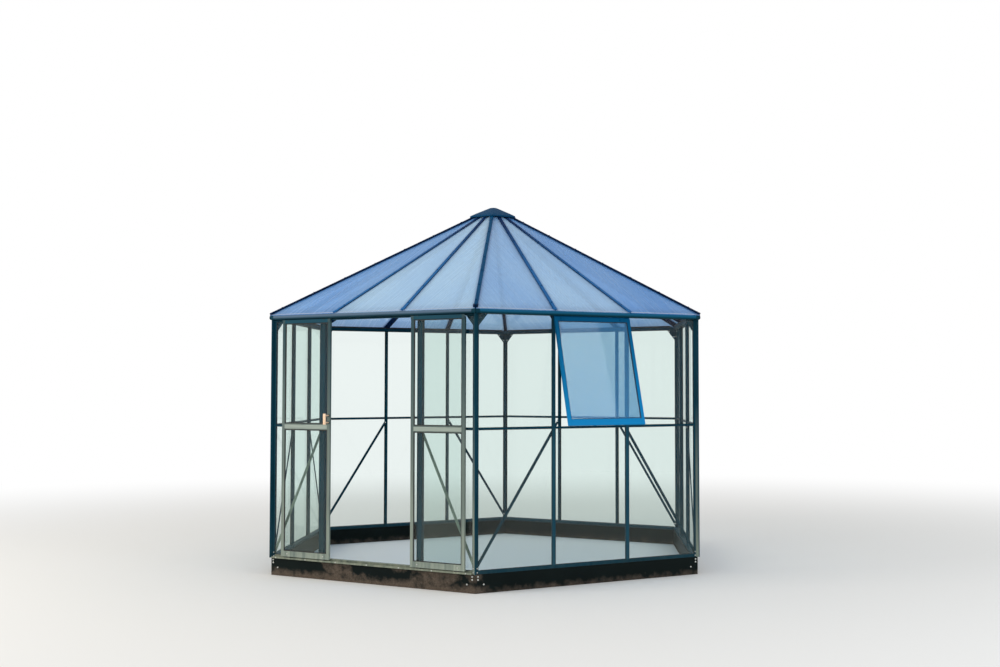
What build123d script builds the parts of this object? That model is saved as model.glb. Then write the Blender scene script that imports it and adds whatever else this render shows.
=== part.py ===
from build123d import *
import math
import os

# Six-sided glass greenhouse with a low pyramid roof. Millimetres, +Z up.
# The origin is the middle of the footprint at ground level, and the door side
# faces -Y. Every wall is drawn there and turned to its own side.

# Walls
side_length = 1860.0
bays_per_side = 3
ground_frame_height = 131.0
ground_frame_depth = 50.0
ground_frame_projection = 6.0
wall_height = 1802.0
base_rail_height = 24.0
base_rail_depth = 36.0
post_face = 22.0
post_depth = 24.0
post_nose_width = 16.0
post_nose_reach = 22.0
mullion_width = 26.0
mullion_depth = 30.0
mullion_web = 10.0
flange_thickness = 2.5
flange_lap = 6.0
mid_rail_level = 993.0
mid_rail_height = 14.0
mid_rail_depth = 14.0
glass_thickness = 3.0
brace_width = 22.0
brace_thickness = 4.0
brace_setback = 12.0
gusset_leg = 97.0
gusset_thickness = 3.0
gusset_setback = 8.0
fit = 0.3
mitre_gap = 0.5

# Doorway and its two sliding leaves
doorway_width = 855.0
jamb_width = 45.0
jamb_depth = 34.0
leaf_width = 468.0
leaf_thickness = 16.0
leaf_standoff = 8.0
leaf_ground_gap = 19.0
leaf_stile = 26.0
leaf_bottom_rail = 42.0
leaf_mid_rail = 44.0
leaf_mid_level = 995.0
leaf_top_rail = 12.0
leaf_plate_height = 27.3
leaf_plate_thickness = 4.0
left_leaf_open = 355.0
right_leaf_open = 388.0
leaf_full_open = 400.0
leaf_meeting_gap = 6.0
moving_clearance = 5.0
roller_radius = 4.0
roller_width = 8.0
roller_pin_radius = 2.0
roller_inset = 60.0
track_thickness = 2.0
track_lip = 1.6
track_side_gap = 3.0
sill_track_lip = 13.0
shoe_length = 40.0
shoe_thickness = 8.0
shoe_inset = 50.0
stop_length = 14.0
handle_length = 80.0
handle_width = 24.0
handle_thickness = 12.0
handle_edge_radius = 5.0
handle_post_radius = 4.2
handle_standoff = 44.0
handle_level = 1054.0

# Top-hung window in the middle bay of the window side
window_width = 636.0
window_drop = 808.0
window_angle = 15.4
window_stile = 26.0
window_top_rail = 30.0
window_bottom_rail = 45.0
window_thickness = 18.0
window_standoff = 3.0
hinge_radius = 5.0
stay_width = 12.0
stay_thickness = 3.0

# Roof
roof_pitch = 29.95
eaves_rail_height = 27.0
eaves_rail_depth = 36.0
eaves_overhang = 34.6
eaves_nose_height = 23.0
eaves_nose_bevel = 8.0
eaves_ridge_setback = 9.4
eaves_ramp = 14.0
roof_sheet_thickness = 6.0
roof_bar_width = 28.0
roof_bar_depth = 30.0
hip_bar_width = 26.0
hip_bar_depth = 34.0
roof_bar_web = 8.0
cover_strip = 6.0
hip_cover = 12.0
sheet_edge_setback = 4.0
sheet_top_apothem = 150.0
hub_radius = 125.0
hub_height = 46.0
hub_rise = 12.0
hub_bolt_radius = 12.0
cap_radius = 216.0
cap_lip = 25.0
cap_rise = 70.0
cap_top_radius = 38.0
cap_thickness = 2.0
cap_bar_clearance = 1.0

# Levels and places that follow from the sizes above
sides = 6
half_turn = math.tan(math.pi / sides)
wall_face = -side_length / 2 / half_turn
half_side = side_length / 2
bay_pitch = side_length / bays_per_side
wall_foot = ground_frame_height
rail_top = wall_foot + base_rail_height
eaves_underside = wall_foot + wall_height
eaves_top = eaves_underside + eaves_rail_height
mid_rail_low = wall_foot + mid_rail_level
mid_rail_top = mid_rail_low + mid_rail_height
post_body = post_face - flange_lap
post_side = half_side - post_body
glass_face = wall_face + flange_thickness + fit
glass_back = glass_face + glass_thickness
jamb_near = doorway_width / 2
jamb_far = jamb_near + jamb_width
roof_edge = -wall_face + eaves_overhang
pitch = math.radians(roof_pitch)
edge_half = roof_edge * half_turn
roof_datum = eaves_top + 2.0
roof_rise = roof_edge * math.tan(pitch)
bar_foot_apothem = roof_edge - eaves_ridge_setback - eaves_ramp - fit


def turned(shape, side):
    """A shape drawn on the door side, turned to another side."""
    return shape.rotate(Axis.Z, side * 360.0 / sides)


def node(solids, name):
    """One STEP file for one named piece or group of like pieces."""
    pieces = [piece for shape in solids for piece in shape.solids()]
    shape = pieces[0] if len(pieces) == 1 else Compound(pieces)
    shape.label = name
    export_step(shape, f"parts/{name}.step")


def prism(plane, points, length):
    """A solid of constant section that runs from a plane along its normal."""
    return extrude(plane * Polygon(*points, align=None), length, dir=plane.z_dir)


def upright(points, low, high):
    """A straight upright whose plan is the given outline."""
    return prism(Plane.XY.offset(low), points, high - low)


def along_side(points, start, end):
    """A bar along a side whose section is given as (y, z) points."""
    section_plane = Plane(origin=(start, 0, 0), x_dir=(0, 1, 0), z_dir=(1, 0, 0))
    return prism(section_plane, points, end - start)


def facing(points, back, thickness):
    """A plate in the wall's plane, given as (x, z) points, in front of its back face."""
    face_plane = Plane(origin=(0, back, 0), x_dir=(1, 0, 0), z_dir=(0, -1, 0))
    return prism(face_plane, points, thickness)


def block(x0, x1, y0, y1, z0, z1):
    """A plain block between two corners."""
    return Pos((x0 + x1) / 2, (y0 + y1) / 2, (z0 + z1) / 2) * Box(x1 - x0, y1 - y0, z1 - z0)


def hexagon(radius):
    """Corner points of the plan's hexagon at a given corner radius."""
    step = 2 * math.pi / sides
    return [(radius * math.cos(step * i), radius * math.sin(step * i)) for i in range(sides)]


def mirrored(shape):
    """The same shape on the other half of its side."""
    return shape.mirror(Plane.YZ)


def sector(low, high):
    """The wedge of the plan that belongs to the door side, less half a mitre gap."""
    reach = 2 * (roof_edge + ground_frame_projection)
    spread = (reach - mitre_gap) * half_turn
    points = [(0, -mitre_gap), (-spread, -reach), (spread, -reach)]
    return upright(points, low, high)


def mitred_ring(section, low, high):
    """Six bars of one section with mitred ends."""
    long_bar = along_side(section, -2 * side_length, 2 * side_length)
    bar = long_bar & sector(low - 1, high + 1)
    return [turned(bar, side) for side in range(sides)]


# Walls


def ground_frame():
    """Dark steel frame on the ground that carries the walls."""
    front = wall_face - ground_frame_projection
    back = front + ground_frame_depth
    section = [(front, 0), (back, 0), (back, wall_foot), (front, wall_foot)]
    return mitred_ring(section, 0, wall_foot)


def base_rails():
    """Bottom rail of each wall, between the corner posts."""
    end = half_side - post_face - fit
    back = wall_face + base_rail_depth
    rail = block(-end, end, wall_face, back, wall_foot, rail_top)
    return [turned(rail, side) for side in range(sides)]


def corner_post():
    """Post at the corner between door side and window side, with a nose outside."""
    slope = math.pi / sides
    corner = Vector(half_side, wall_face, 0)
    right_in = Vector(0, 1, 0)
    left_run = Vector(-1, 0, 0)
    turn_cos = math.cos(2 * slope)
    turn_sin = math.sin(2 * slope)
    right_run = Vector(turn_cos, turn_sin, 0)
    window_in = Vector(-turn_sin, turn_cos, 0)
    outward = Vector(math.sin(slope), -math.cos(slope), 0)
    half_nose = Vector(math.cos(slope), math.sin(slope), 0) * post_nose_width / 2
    nose_root = post_nose_width / 2 / math.cos(slope)
    tip = corner + outward * post_nose_reach
    nose = [corner + right_run * nose_root, tip + half_nose, tip - half_nose, corner + left_run * nose_root]
    door_half = [
        corner + left_run * post_face,
        corner + left_run * post_face + right_in * flange_thickness,
        corner + left_run * post_body + right_in * flange_thickness,
        corner + left_run * post_body + right_in * post_depth,
    ]
    window_half = [
        corner + right_run * post_body + window_in * post_depth,
        corner + right_run * post_body + window_in * flange_thickness,
        corner + right_run * post_face + window_in * flange_thickness,
        corner + right_run * post_face,
    ]
    points = [(p.X, p.Y) for p in nose + door_half + window_half]
    return upright(points, wall_foot + fit, eaves_underside - fit)


def corner_posts():
    post = corner_post()
    return [turned(post, side) for side in range(sides)]


def mullion(centre):
    """Upright with an outer flange that laps the glass on both sides."""
    half_flange = mullion_width / 2
    half_web = mullion_web / 2
    lap = wall_face + flange_thickness
    back = wall_face + mullion_depth
    points = [
        (centre - half_flange, wall_face),
        (centre + half_flange, wall_face),
        (centre + half_flange, lap),
        (centre + half_web, lap),
        (centre + half_web, back),
        (centre - half_web, back),
        (centre - half_web, lap),
        (centre - half_flange, lap),
    ]
    return upright(points, rail_top + fit, eaves_underside - fit)


def mullions():
    found = []
    for side in range(1, sides):
        for line in range(1, bays_per_side):
            centre = -half_side + line * bay_pitch
            found.append(turned(mullion(centre), side))
    return found


def door_jambs():
    """Two wider uprights beside the doorway, each lapping its fixed pane."""
    lap = wall_face + flange_thickness
    back = wall_face + jamb_depth
    points = [
        (jamb_near, wall_face),
        (jamb_far, wall_face),
        (jamb_far, lap),
        (jamb_far - flange_lap, lap),
        (jamb_far - flange_lap, back),
        (jamb_near, back),
    ]
    jamb = upright(points, rail_top + fit, eaves_underside - fit)
    return [jamb, mirrored(jamb)]


def bay_edges(side):
    """Left and right limits of what fills each bay of a side."""
    if side == 0:
        near = jamb_far - flange_lap + fit
        return [(-post_side + fit, -near), (near, post_side - fit)]
    lines = [-half_side + line * bay_pitch for line in range(1, bays_per_side)]
    lefts = [-post_side + fit] + [line + mullion_web / 2 + fit for line in lines]
    rights = [line - mullion_web / 2 - fit for line in lines] + [post_side - fit]
    return list(zip(lefts, rights))


def mid_rails():
    """Slim rail between the lower and the upper pane of every bay."""
    found = []
    for side in range(sides):
        for left, right in bay_edges(side):
            back = glass_face + mid_rail_depth
            rail = block(left, right, glass_face, back, mid_rail_low, mid_rail_top)
            found.append(turned(rail, side))
    return found


def wall_glass(side):
    """Lower and upper pane of each bay. The window's bay has no fixed upper pane."""
    found = []
    for bay, (left, right) in enumerate(bay_edges(side)):
        low = rail_top + fit
        high = mid_rail_low - fit
        found.append(block(left, right, glass_face, glass_back, low, high))
        if side == 1 and bay == bays_per_side // 2:
            continue
        low = mid_rail_top + fit
        high = eaves_underside - fit
        found.append(block(left, right, glass_face, glass_back, low, high))
    return [turned(pane, side) for pane in found]


def brace(top_x, foot_x):
    """Flat diagonal from an upright under the mid rail to the post's foot."""
    run = abs(foot_x - top_x)
    drop_guess = mid_rail_low - rail_top
    drop = drop_guess - brace_width * math.hypot(run, drop_guess) / run
    height = brace_width * math.hypot(run, drop) / run
    top = mid_rail_low - fit
    foot = rail_top + fit
    points = [(top_x, top), (foot_x, foot + height), (foot_x, foot), (top_x, top - height)]
    return facing(points, wall_face + brace_setback + brace_thickness, brace_thickness)


def wall_braces():
    """One brace in each corner bay, two to a side."""
    found = []
    for side in range(sides):
        near_left, near_right = bay_edges(side)[-1]
        strut = brace(near_left, near_right)
        found.append(turned(strut, side))
        found.append(turned(mirrored(strut), side))
    return found


def corner_gussets():
    """Three-cornered plates between post and eaves rail, two at each corner."""
    outer = post_side - fit
    inner = half_side - gusset_leg
    top = eaves_underside - fit
    points = [(outer, top), (inner, top), (outer, top - gusset_leg)]
    plate = facing(points, wall_face + gusset_setback + gusset_thickness, gusset_thickness)
    found = []
    for side in range(sides):
        found.append(turned(plate, side))
        found.append(turned(mirrored(plate), side))
    return found


# Roof


def roof_level(apothem):
    """Height of the roof sheets' underside over a line of the plan."""
    return roof_datum + (roof_edge - apothem) * math.tan(pitch)


def eaves_rails():
    """Rail on top of each wall, with a nose outside the wall that holds the sheets."""
    inner = wall_face + eaves_rail_depth
    ridge = -roof_edge + eaves_ridge_setback
    ridge_level = roof_level(-ridge) - fit
    ramp = ridge + eaves_ramp
    nose_top = eaves_underside + eaves_nose_height
    section = [
        (inner, eaves_underside),
        (-roof_edge + eaves_nose_bevel, eaves_underside),
        (-roof_edge, eaves_underside + eaves_nose_bevel),
        (-roof_edge, nose_top),
        (-roof_edge + eaves_ridge_setback / 3, (nose_top + 2 * ridge_level) / 3),
        (ridge, ridge_level),
        (ramp, eaves_top),
        (inner, eaves_top),
    ]
    return mitred_ring(section, eaves_underside, ridge_level)


def bar_outline(width, depth, cover, drop):
    """Section of a roof bar: body under the sheets, web between, cover strip over."""
    rise = 1 / math.cos(drop)
    fall = math.tan(drop)
    half = width / 2
    web = roof_bar_web / 2
    sheet_top = roof_sheet_thickness + fit
    cover_top = sheet_top + cover
    right = [
        (half, -depth),
        (half, -fit * rise - half * fall),
        (web, -fit * rise - web * fall),
        (web, sheet_top * rise - web * fall),
        (half, sheet_top * rise - half * fall),
        (half, cover_top * rise - half * fall),
    ]
    left = [(-x, y) for x, y in reversed(right)]
    return right + [(0, cover_top * rise)] + left


def roof_bar(foot_x, normal, outline):
    """A bar from the roof's edge to the axis, cut at the eaves, hub and cap."""
    foot = Vector(foot_x, -roof_edge, roof_datum)
    run = Vector(0, 0, roof_datum + roof_rise) - foot
    line = run.normalized()
    across = normal.cross(line)
    bar = prism(Plane(origin=foot, x_dir=across, z_dir=line), outline, run.length)
    foot_radius = bar_foot_apothem / math.cos(math.pi / sides)
    room = upright(hexagon(foot_radius), eaves_top + fit, hub_top)
    room -= upright(hexagon(hub_radius + fit), eaves_top, hub_top)
    return bar & room


def hip_line():
    """Direction of the hip over the corner between door side and window side."""
    return Vector(-edge_half, roof_edge, roof_rise).normalized()


def hip_drop():
    """Angle by which each roof face falls away from a hip bar's top."""
    line = hip_line()
    level = Vector(roof_edge, edge_half, 0).normalized()
    over = level.cross(line)
    face = Vector(0, -math.sin(pitch), math.cos(pitch))
    trace = line.cross(face)
    return math.atan(abs(trace.dot(over) / trace.dot(level)))


def hip_bars():
    """Six bars along the roof's corners."""
    line = hip_line()
    over = Vector(roof_edge, edge_half, 0).normalized().cross(line)
    outline = bar_outline(hip_bar_width, hip_bar_depth, hip_cover, hip_fall)
    bar = roof_bar(edge_half, over, outline)
    return [turned(bar, side) for side in range(sides)]


def roof_bars():
    """Bars between the hips, one over each mullion line."""
    face = Vector(0, -math.sin(pitch), math.cos(pitch))
    outline = bar_outline(roof_bar_width, roof_bar_depth, cover_strip, 0)
    found = []
    for line in range(1, bays_per_side):
        foot_x = edge_half * (2 * line / bays_per_side - 1)
        bar = roof_bar(foot_x, face, outline)
        found += [turned(bar, side) for side in range(sides)]
    return found


def roof_sheets(side):
    """Translucent sheets of one roof face, one between each two bars."""
    slope_length = roof_edge / math.cos(pitch)
    low = sheet_edge_setback
    high = (roof_edge - sheet_top_apothem) / math.cos(pitch)
    face_plane = Plane(
        origin=(0, -roof_edge, roof_datum),
        x_dir=(1, 0, 0),
        z_dir=(0, -math.sin(pitch), math.cos(pitch)),
    )
    found = []
    for bay in range(bays_per_side):
        corners = []
        for line, inward in ((bay, 1), (bay + 1, -1)):
            spread = edge_half * (2 * line / bays_per_side - 1)
            on_hip = line in (0, bays_per_side)
            edge_gap = roof_bar_web / 2 + fit
            if on_hip:
                edge_gap = edge_gap / math.cos(hip_fall)
            shift = inward * edge_gap * math.hypot(1, spread / slope_length)
            corners.append([(spread * (1 - w / slope_length) + shift, w) for w in (low, high)])
        (left_low, left_high), (right_low, right_high) = corners
        outline = [left_low, right_low, right_high, left_high]
        found.append(turned(prism(face_plane, outline, roof_sheet_thickness), side))
    return found


def crown_hub():
    """Hexagonal block that the bars run to, with the bolt that holds the cap."""
    block_part = upright(hexagon(hub_radius), hub_top - hub_height, hub_top)
    bolt = Pos(0, 0, hub_top) * Cylinder(
        hub_bolt_radius,
        cap_base + cap_rise - cap_thickness - fit - hub_top,
        align=(Align.CENTER, Align.CENTER, Align.MIN),
    )
    return [block_part + bolt]


def pyramid(base_radius, base, top_radius, top):
    """A hexagonal pyramid with a small flat top."""
    lower = Plane.XY.offset(base) * Polygon(*hexagon(base_radius), align=None)
    upper = Plane.XY.offset(top) * Polygon(*hexagon(top_radius), align=None)
    return loft([lower.face(), upper.face()])


def roof_cap():
    """Sheet cap over the hub, a low hexagonal pyramid with a short lip."""
    outer = pyramid(cap_radius, cap_base, cap_top_radius, cap_base + cap_rise)
    outer += upright(hexagon(cap_radius), cap_base - cap_lip, cap_base)
    inner_top = cap_base + cap_rise - cap_thickness
    inner_radius = cap_top_radius - cap_wall + cap_thickness * cap_shrink
    inner = pyramid(cap_radius - cap_wall, cap_base, inner_radius, inner_top)
    inner += upright(hexagon(cap_radius - cap_wall), cap_base - cap_lip, cap_base)
    return [outer - inner]


hip_fall = hip_drop()
hip_pitch = math.atan(math.tan(pitch) * math.cos(math.pi / sides))
bar_top_rise = max(
    (roof_sheet_thickness + fit + cover_strip) / math.cos(pitch),
    (roof_sheet_thickness + fit + hip_cover) / math.cos(hip_pitch),
)
cap_shrink = (cap_radius - cap_top_radius) / cap_rise
cap_slope = math.atan(1 / (cap_shrink * math.cos(math.pi / sides)))
cap_wall = cap_thickness / math.sin(cap_slope) / math.cos(math.pi / sides)
cap_inner_apothem = (cap_radius - cap_wall) * math.cos(math.pi / sides)
cap_base = roof_level(cap_inner_apothem) + bar_top_rise + cap_bar_clearance + cap_lip
hub_top = cap_base + hub_rise


# Doorway


leaf_front = wall_face - leaf_standoff - leaf_thickness
leaf_back = wall_face - leaf_standoff
leaf_foot = wall_foot + leaf_ground_gap
plate_top = eaves_underside - moving_clearance
plate_foot = plate_top - leaf_plate_height
leaf_top = plate_foot + leaf_top_rail
ledge_top = leaf_top + moving_clearance + track_thickness
roller_level = ledge_top + fit + roller_radius
roller_middle = wall_face - track_thickness - fit - roller_width / 2 - track_side_gap


def door_head_track():
    """Ledge under the eaves nose that the leaves' rollers run on."""
    ledge_foot = ledge_top - track_thickness
    back = wall_face - fit
    front = roller_middle - roller_width / 2 - track_side_gap - track_thickness
    section = [
        (back, ledge_foot),
        (front, ledge_foot),
        (front, ledge_top + track_lip),
        (front + track_thickness, ledge_top + track_lip),
        (front + track_thickness, ledge_top),
        (back - track_thickness, ledge_top),
        (back - track_thickness, eaves_underside - fit),
        (back, eaves_underside - fit),
    ]
    return [along_side(section, -post_side, post_side)]


def door_sill_track():
    """Channel in front of the base rail that guides the leaves' feet."""
    back = wall_face - fit
    inner = leaf_front + (leaf_thickness - shoe_thickness) / 2 - moving_clearance
    front = inner - track_thickness
    floor = wall_foot + track_thickness
    section = [
        (back, wall_foot),
        (front, wall_foot),
        (front, wall_foot + sill_track_lip),
        (inner, wall_foot + sill_track_lip),
        (inner, floor),
        (back - track_thickness, floor),
        (back - track_thickness, leaf_foot - moving_clearance),
        (back, leaf_foot - moving_clearance),
    ]
    return [along_side(section, -post_side, post_side)]


def track_stops():
    """Rubber blocks on the head track where the rollers stop when the door is open."""
    centre = leaf_full_open + leaf_width - roller_inset
    start = centre + roller_radius + moving_clearance
    half = roller_width / 2
    low = ledge_top + fit
    high = roller_level + roller_radius / 2
    stop = block(start, start + stop_length, roller_middle - half, roller_middle + half, low, high)
    return [stop, mirrored(stop)]


def leaf_frame():
    """Frame of the right leaf when the door is shut, with the plate over its rollers."""
    left = leaf_meeting_gap / 2
    right = left + leaf_width
    mid_low = wall_foot + leaf_mid_level - leaf_mid_rail / 2
    mid_high = mid_low + leaf_mid_rail
    frame = block(left, right, leaf_front, leaf_back, leaf_foot, leaf_top)
    inner_left = left + leaf_stile
    inner_right = right - leaf_stile
    bottom = leaf_foot + leaf_bottom_rail
    frame -= block(inner_left, inner_right, leaf_front - 1, leaf_back + 1, bottom, mid_low)
    frame -= block(inner_left, inner_right, leaf_front - 1, leaf_back + 1, mid_high, leaf_top - leaf_top_rail)
    plate_front = leaf_front - leaf_plate_thickness
    frame += block(left, right, plate_front, leaf_front, plate_foot, plate_top)
    return [frame]


def leaf_glass():
    """Two panes of the right leaf, seated in its frame."""
    left = leaf_meeting_gap / 2 + leaf_stile + fit
    right = leaf_meeting_gap / 2 + leaf_width - leaf_stile - fit
    front = leaf_front + (leaf_thickness - glass_thickness) / 2
    back = front + glass_thickness
    mid_low = wall_foot + leaf_mid_level - leaf_mid_rail / 2
    mid_high = mid_low + leaf_mid_rail
    low_pane = block(left, right, front, back, leaf_foot + leaf_bottom_rail + fit, mid_low - fit)
    high_pane = block(left, right, front, back, mid_high + fit, leaf_top - leaf_top_rail - fit)
    return [low_pane, high_pane]


def leaf_rollers():
    """Two rollers of the right leaf, each with the pin that fixes it to the plate."""
    found = []
    for place in (roller_inset, leaf_width - roller_inset):
        centre_x = leaf_meeting_gap / 2 + place
        back = roller_middle + roller_width / 2
        wheel_plane = Plane(origin=(centre_x, back, roller_level), x_dir=(1, 0, 0), z_dir=(0, -1, 0))
        wheel = extrude(wheel_plane * Circle(roller_radius), roller_width)
        pin = extrude(wheel_plane * Circle(roller_pin_radius), back - leaf_front - fit)
        found.append(wheel + pin)
    return found


def leaf_guides():
    """Two nylon shoes under the right leaf that run in the sill track."""
    middle = (leaf_front + leaf_back) / 2
    half = shoe_thickness / 2
    low = wall_foot + track_thickness + moving_clearance
    found = []
    for place in (shoe_inset, leaf_width - shoe_inset - shoe_length):
        start = leaf_meeting_gap / 2 + place
        shoe = block(start, start + shoe_length, middle - half, middle + half, low, leaf_foot - fit)
        found.append(shoe)
    return found


def door_handle():
    """Upright grip on two short posts, on a leaf's leading stile."""
    centre_x = leaf_meeting_gap / 2 + leaf_stile / 2
    level = wall_foot + handle_level
    middle = leaf_front - handle_standoff
    grip = Pos(centre_x, middle, level) * Box(handle_width, handle_thickness, handle_length)
    handle = fillet(grip.edges().filter_by(Axis.Z), handle_edge_radius)
    for height in (level - handle_length / 3, level + handle_length / 3):
        post_plane = Plane(origin=(centre_x, middle, height), x_dir=(1, 0, 0), z_dir=(0, 1, 0))
        handle += extrude(post_plane * Circle(handle_post_radius), handle_standoff - fit)
    return [handle]


def right_leaf(solids):
    """The right leaf's pieces, moved to where the leaf stands open."""
    travel = right_leaf_open - leaf_meeting_gap / 2
    return [solid.moved(Location((travel, 0, 0))) for solid in solids]


def left_leaf(solids):
    """The left leaf's pieces, the mirror image of the right ones."""
    travel = left_leaf_open - leaf_meeting_gap / 2
    return [mirrored(solid).moved(Location((-travel, 0, 0))) for solid in solids]


# Window


hinge_y = wall_face - window_standoff - window_thickness / 2
hinge_level = eaves_underside - fit - hinge_radius
window_back = wall_face - window_standoff
window_front = window_back - window_thickness
window_foot = hinge_level - window_drop
window_head = hinge_level - hinge_radius - fit


def opened(shape):
    """A piece of the shut window, swung out about the hinge bar."""
    hinge = Axis((0, hinge_y, hinge_level), (1, 0, 0))
    return turned(shape.rotate(hinge, -window_angle), 1)


def window_frame():
    """Frame that hangs from the hinge bar."""
    half = window_width / 2
    inner = half - window_stile
    frame = block(-half, half, window_front, window_back, window_foot, window_head)
    low = window_foot + window_bottom_rail
    high = window_head - window_top_rail
    frame -= block(-inner, inner, window_front - 1, window_back + 1, low, high)
    return [opened(frame)]


def window_glass():
    half = window_width / 2 - window_stile - fit
    front = window_front + (window_thickness - glass_thickness) / 2
    low = window_foot + window_bottom_rail + fit
    high = window_head - window_top_rail - fit
    return [opened(block(-half, half, front, front + glass_thickness, low, high))]


def window_hinge_bar():
    """Round bar under the eaves nose that the window swings on."""
    half = window_width / 2
    plane = Plane(origin=(-half, hinge_y, hinge_level), x_dir=(0, 1, 0), z_dir=(1, 0, 0))
    return [turned(extrude(plane * Circle(hinge_radius), 2 * half), 1)]


def window_stay():
    """Flat bar from the mid rail to the window's foot, which holds it open."""
    swing = math.radians(window_angle)
    back_gap = window_back - hinge_y
    drop = window_drop - window_bottom_rail / 2
    foot_y = hinge_y + back_gap * math.cos(swing) - drop * math.sin(swing)
    foot_z = hinge_level - back_gap * math.sin(swing) - drop * math.cos(swing)
    start = Vector(0, glass_face - fit, mid_rail_top - mid_rail_height / 2)
    end = Vector(0, foot_y, foot_z)
    run = end - start
    length = run.length
    line = run.normalized()
    plane = Plane(origin=start, x_dir=(1, 0, 0), z_dir=line)
    bar = extrude(plane * Rectangle(stay_width, stay_thickness), length - 2 * fit)
    return [turned(bar, 1)]


os.makedirs("parts", exist_ok=True)
side_names = ["door_side", "window_side", "right_rear", "rear", "left_rear", "left_side"]

node(ground_frame(), "ground_frame")
node(base_rails(), "base_rails")
node(corner_posts(), "corner_posts")
node(mullions(), "mullions")
node(door_jambs(), "door_jambs")
node(mid_rails(), "mid_rails")
node(wall_braces(), "wall_braces")
node(corner_gussets(), "corner_gussets")
node(eaves_rails(), "eaves_rails")
node(hip_bars(), "hip_bars")
node(roof_bars(), "roof_bars")
node(crown_hub(), "crown_hub")
node(roof_cap(), "roof_cap")
for side, side_name in enumerate(side_names):
    node(wall_glass(side), f"{side_name}_glass")
    node(roof_sheets(side), f"{side_name}_roof_sheets")

node(door_head_track(), "door_head_track")
node(door_sill_track(), "door_sill_track")
node(track_stops(), "track_stops")
for leaf_name, placed in (("left_door", left_leaf), ("right_door", right_leaf)):
    node(placed(leaf_frame()), f"{leaf_name}_frame")
    node(placed(leaf_glass()), f"{leaf_name}_glass")
    node(placed(leaf_rollers()), f"{leaf_name}_rollers")
    node(placed(leaf_guides()), f"{leaf_name}_guides")
node(left_leaf(door_handle()), "left_door_handle")

node(window_frame(), "window_frame")
node(window_glass(), "window_glass")
node(window_hinge_bar(), "window_hinge_bar")
node(window_stay(), "window_stay")
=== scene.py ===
import math

import bmesh
import bpy
from mathutils import Matrix, Vector


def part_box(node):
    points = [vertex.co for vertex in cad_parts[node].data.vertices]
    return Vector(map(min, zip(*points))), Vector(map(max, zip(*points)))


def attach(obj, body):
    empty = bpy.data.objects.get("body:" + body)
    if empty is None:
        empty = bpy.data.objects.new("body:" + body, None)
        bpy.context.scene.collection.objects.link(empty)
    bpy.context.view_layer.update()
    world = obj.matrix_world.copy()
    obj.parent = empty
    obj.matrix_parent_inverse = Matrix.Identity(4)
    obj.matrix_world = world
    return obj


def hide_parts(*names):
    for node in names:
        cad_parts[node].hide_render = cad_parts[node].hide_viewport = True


# Six-sided glass greenhouse: coated aluminium bars on a black steel ground frame, clear panes in
# the walls and translucent sheets on a low pyramid roof. Metres, +Z up, the door side faces -Y.
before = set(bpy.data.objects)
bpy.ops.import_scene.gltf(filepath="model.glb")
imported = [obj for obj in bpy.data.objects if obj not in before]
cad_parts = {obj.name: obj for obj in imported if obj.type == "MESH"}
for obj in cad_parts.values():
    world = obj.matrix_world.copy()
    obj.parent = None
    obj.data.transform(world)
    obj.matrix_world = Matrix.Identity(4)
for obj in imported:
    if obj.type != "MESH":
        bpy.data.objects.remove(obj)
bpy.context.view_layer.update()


# Ground frame: six lengths of folded steel channel, painted black and bolted at their mitred
# corners. They lie on the ground, so rain splashes earth against their lower half.

def linear(hex_colour):
    """An sRGB hex colour as the linear colour that a socket takes."""
    parts = [int(hex_colour[i:i + 2], 16) / 255 for i in (1, 3, 5)]
    return [p / 12.92 if p <= 0.04045 else ((p + 0.055) / 1.055) ** 2.4 for p in parts] + [1.0]


def add(tree, kind, sockets=None, **settings):
    """Adds a shader node with its settings. Each socket takes a value, a hex colour, a socket to
    link, or a node, whose first output in use is linked."""
    made = tree.nodes.new("ShaderNode" + kind)
    for name, value in settings.items():
        setattr(made, name, value)
    for name, value in (sockets or {}).items():
        if isinstance(value, bpy.types.Node):
            value = next(output for output in value.outputs if output.enabled)
        if isinstance(value, bpy.types.NodeSocket):
            tree.links.new(value, made.inputs[name])
        else:
            made.inputs[name].default_value = linear(value) if isinstance(value, str) else value
    return made


def noise(tree, place, size, detail, **sockets):
    """Noise in patches of a size in metres. Where the place is stretched already, the size is 1."""
    return add(tree, "TexNoise", {"Vector": place, "Scale": 1 / size, "Detail": detail, **sockets})


def ramp(tree, value, start=0.0, end=1.0, low=0.0, high=1.0, **settings):
    """Goes from low to high as a value goes from start to end, and stays level beyond them."""
    return add(tree, "MapRange", {
        "Value": value, "From Min": start, "From Max": end, "To Min": low, "To Max": high}, **settings)


def blend(tree, share, first, second):
    """A mix of two colours, all of it the second where the share is 1."""
    return add(tree, "Mix", {0: share, 6: first, 7: second}, data_type="RGBA")


def product(tree, first, second, **settings):
    """Two values multiplied."""
    return add(tree, "Math", {0: first, 1: second}, operation="MULTIPLY", **settings)


def new_material(name):
    """An empty material, its node tree, and the place on the piece that its patterns follow."""
    made = bpy.data.materials.new(name)
    made.use_nodes = True
    made.node_tree.nodes.clear()
    return made, made.node_tree, add(made.node_tree, "TexCoord").outputs["Object"]


def select_nothing():
    """Leaves no object selected, so that the next operator acts on its own piece alone."""
    bpy.ops.object.select_all(action="DESELECT")


def only(piece):
    """Makes this piece the one that is selected and active, in object mode."""
    if bpy.context.mode != "OBJECT":
        bpy.ops.object.mode_set(mode="OBJECT")
    select_nothing()
    piece.select_set(True)
    bpy.context.view_layer.objects.active = piece


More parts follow.
